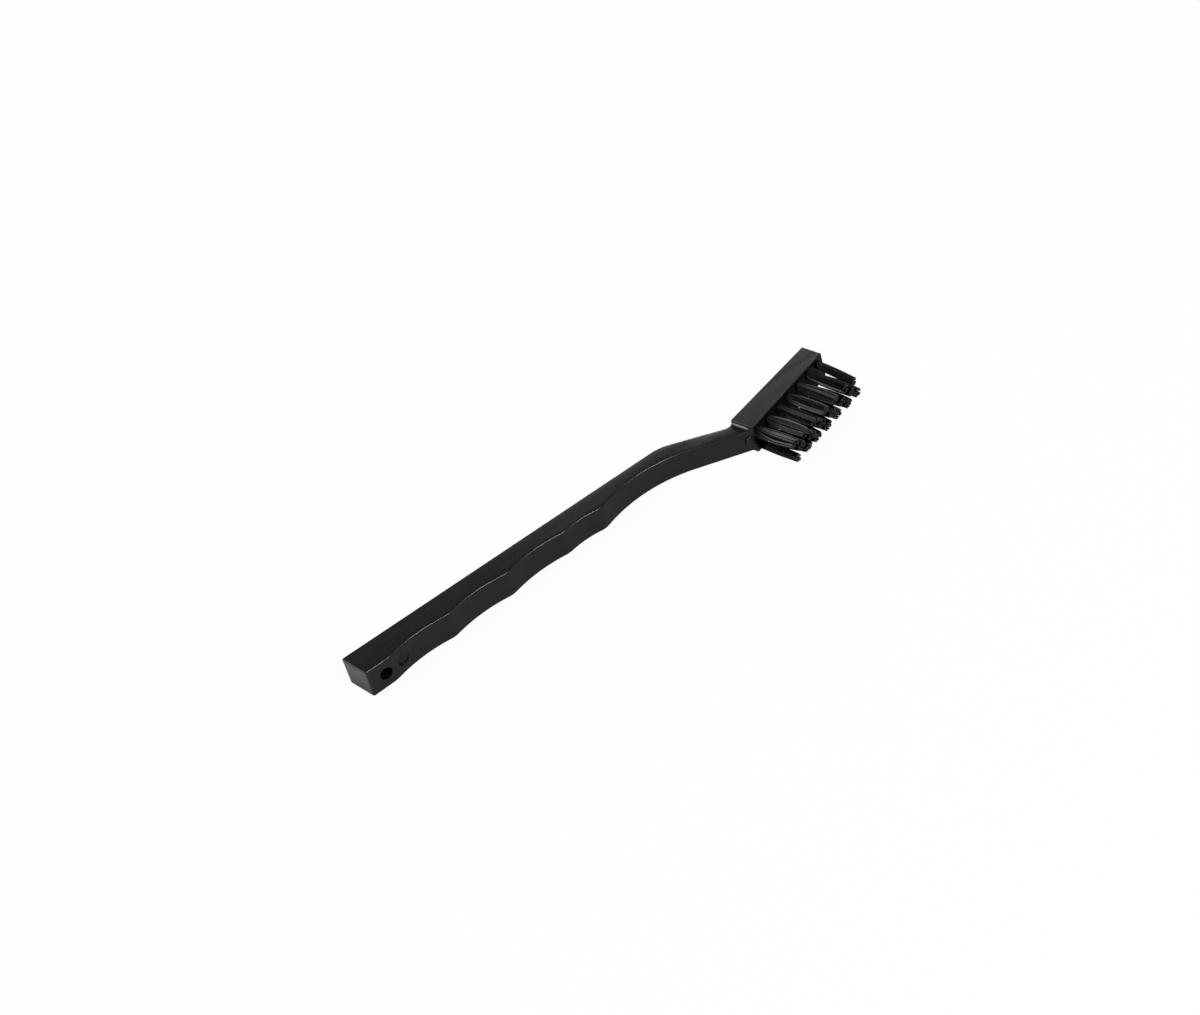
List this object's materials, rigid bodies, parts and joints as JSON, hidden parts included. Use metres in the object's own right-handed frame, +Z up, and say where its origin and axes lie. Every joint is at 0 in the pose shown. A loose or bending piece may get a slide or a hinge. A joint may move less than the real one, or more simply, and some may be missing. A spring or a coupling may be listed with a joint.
{
  "type": "anti-static brush",
  "caption": "Slim toothbrush-style cleaning brush with a finger-grooved handle, a cranked neck and rows of stapled conductive bristle tufts.",
  "frame": {"origin": "middle of the bounding box at its lowest plane, which is the side of the head that the brush lies on", "axes": "+X along the handle from the hanging end towards the head, the bristles point to -Y, +Z up out of the surface that the brush lies on, which is across the handle"},
  "size_m": [0.18, 0.0316, 0.0101],
  "materials": {
    "conductive_plastic": "satin black conductive polypropylene",
    "conductive_nylon": "black conductive nylon filament",
    "anchor_wire": "flat drawn wire"
  },
  "bodies": {
    "root": {"anchor_lower_1": "anchor_wire", "anchor_lower_2": "anchor_wire", "anchor_lower_3": "anchor_wire", "anchor_lower_4": "anchor_wire", "anchor_lower_5": "anchor_wire", "anchor_lower_6": "anchor_wire", "anchor_lower_7": "anchor_wire", "anchor_middle_1": "anchor_wire", "anchor_middle_2": "anchor_wire", "anchor_middle_3": "anchor_wire", "anchor_middle_4": "anchor_wire", "anchor_middle_5": "anchor_wire", "anchor_middle_6": "anchor_wire", "anchor_upper_1": "anchor_wire", "anchor_upper_2": "anchor_wire", "anchor_upper_3": "anchor_wire", "anchor_upper_4": "anchor_wire", "anchor_upper_5": "anchor_wire", "anchor_upper_6": "anchor_wire", "anchor_upper_7": "anchor_wire", "handle": "conductive_plastic", "tuft_lower_1": "conductive_nylon", "tuft_lower_2": "conductive_nylon", "tuft_lower_3": "conductive_nylon", "tuft_lower_4": "conductive_nylon", "tuft_lower_5": "conductive_nylon", "tuft_lower_6": "conductive_nylon", "tuft_lower_7": "conductive_nylon", "tuft_middle_1": "conductive_nylon", "tuft_middle_2": "conductive_nylon", "tuft_middle_3": "conductive_nylon", "tuft_middle_4": "conductive_nylon", "tuft_middle_5": "conductive_nylon", "tuft_middle_6": "conductive_nylon", "tuft_upper_1": "conductive_nylon", "tuft_upper_2": "conductive_nylon", "tuft_upper_3": "conductive_nylon", "tuft_upper_4": "conductive_nylon", "tuft_upper_5": "conductive_nylon", "tuft_upper_6": "conductive_nylon", "tuft_upper_7": "conductive_nylon"}
  },
  "joints": []
}
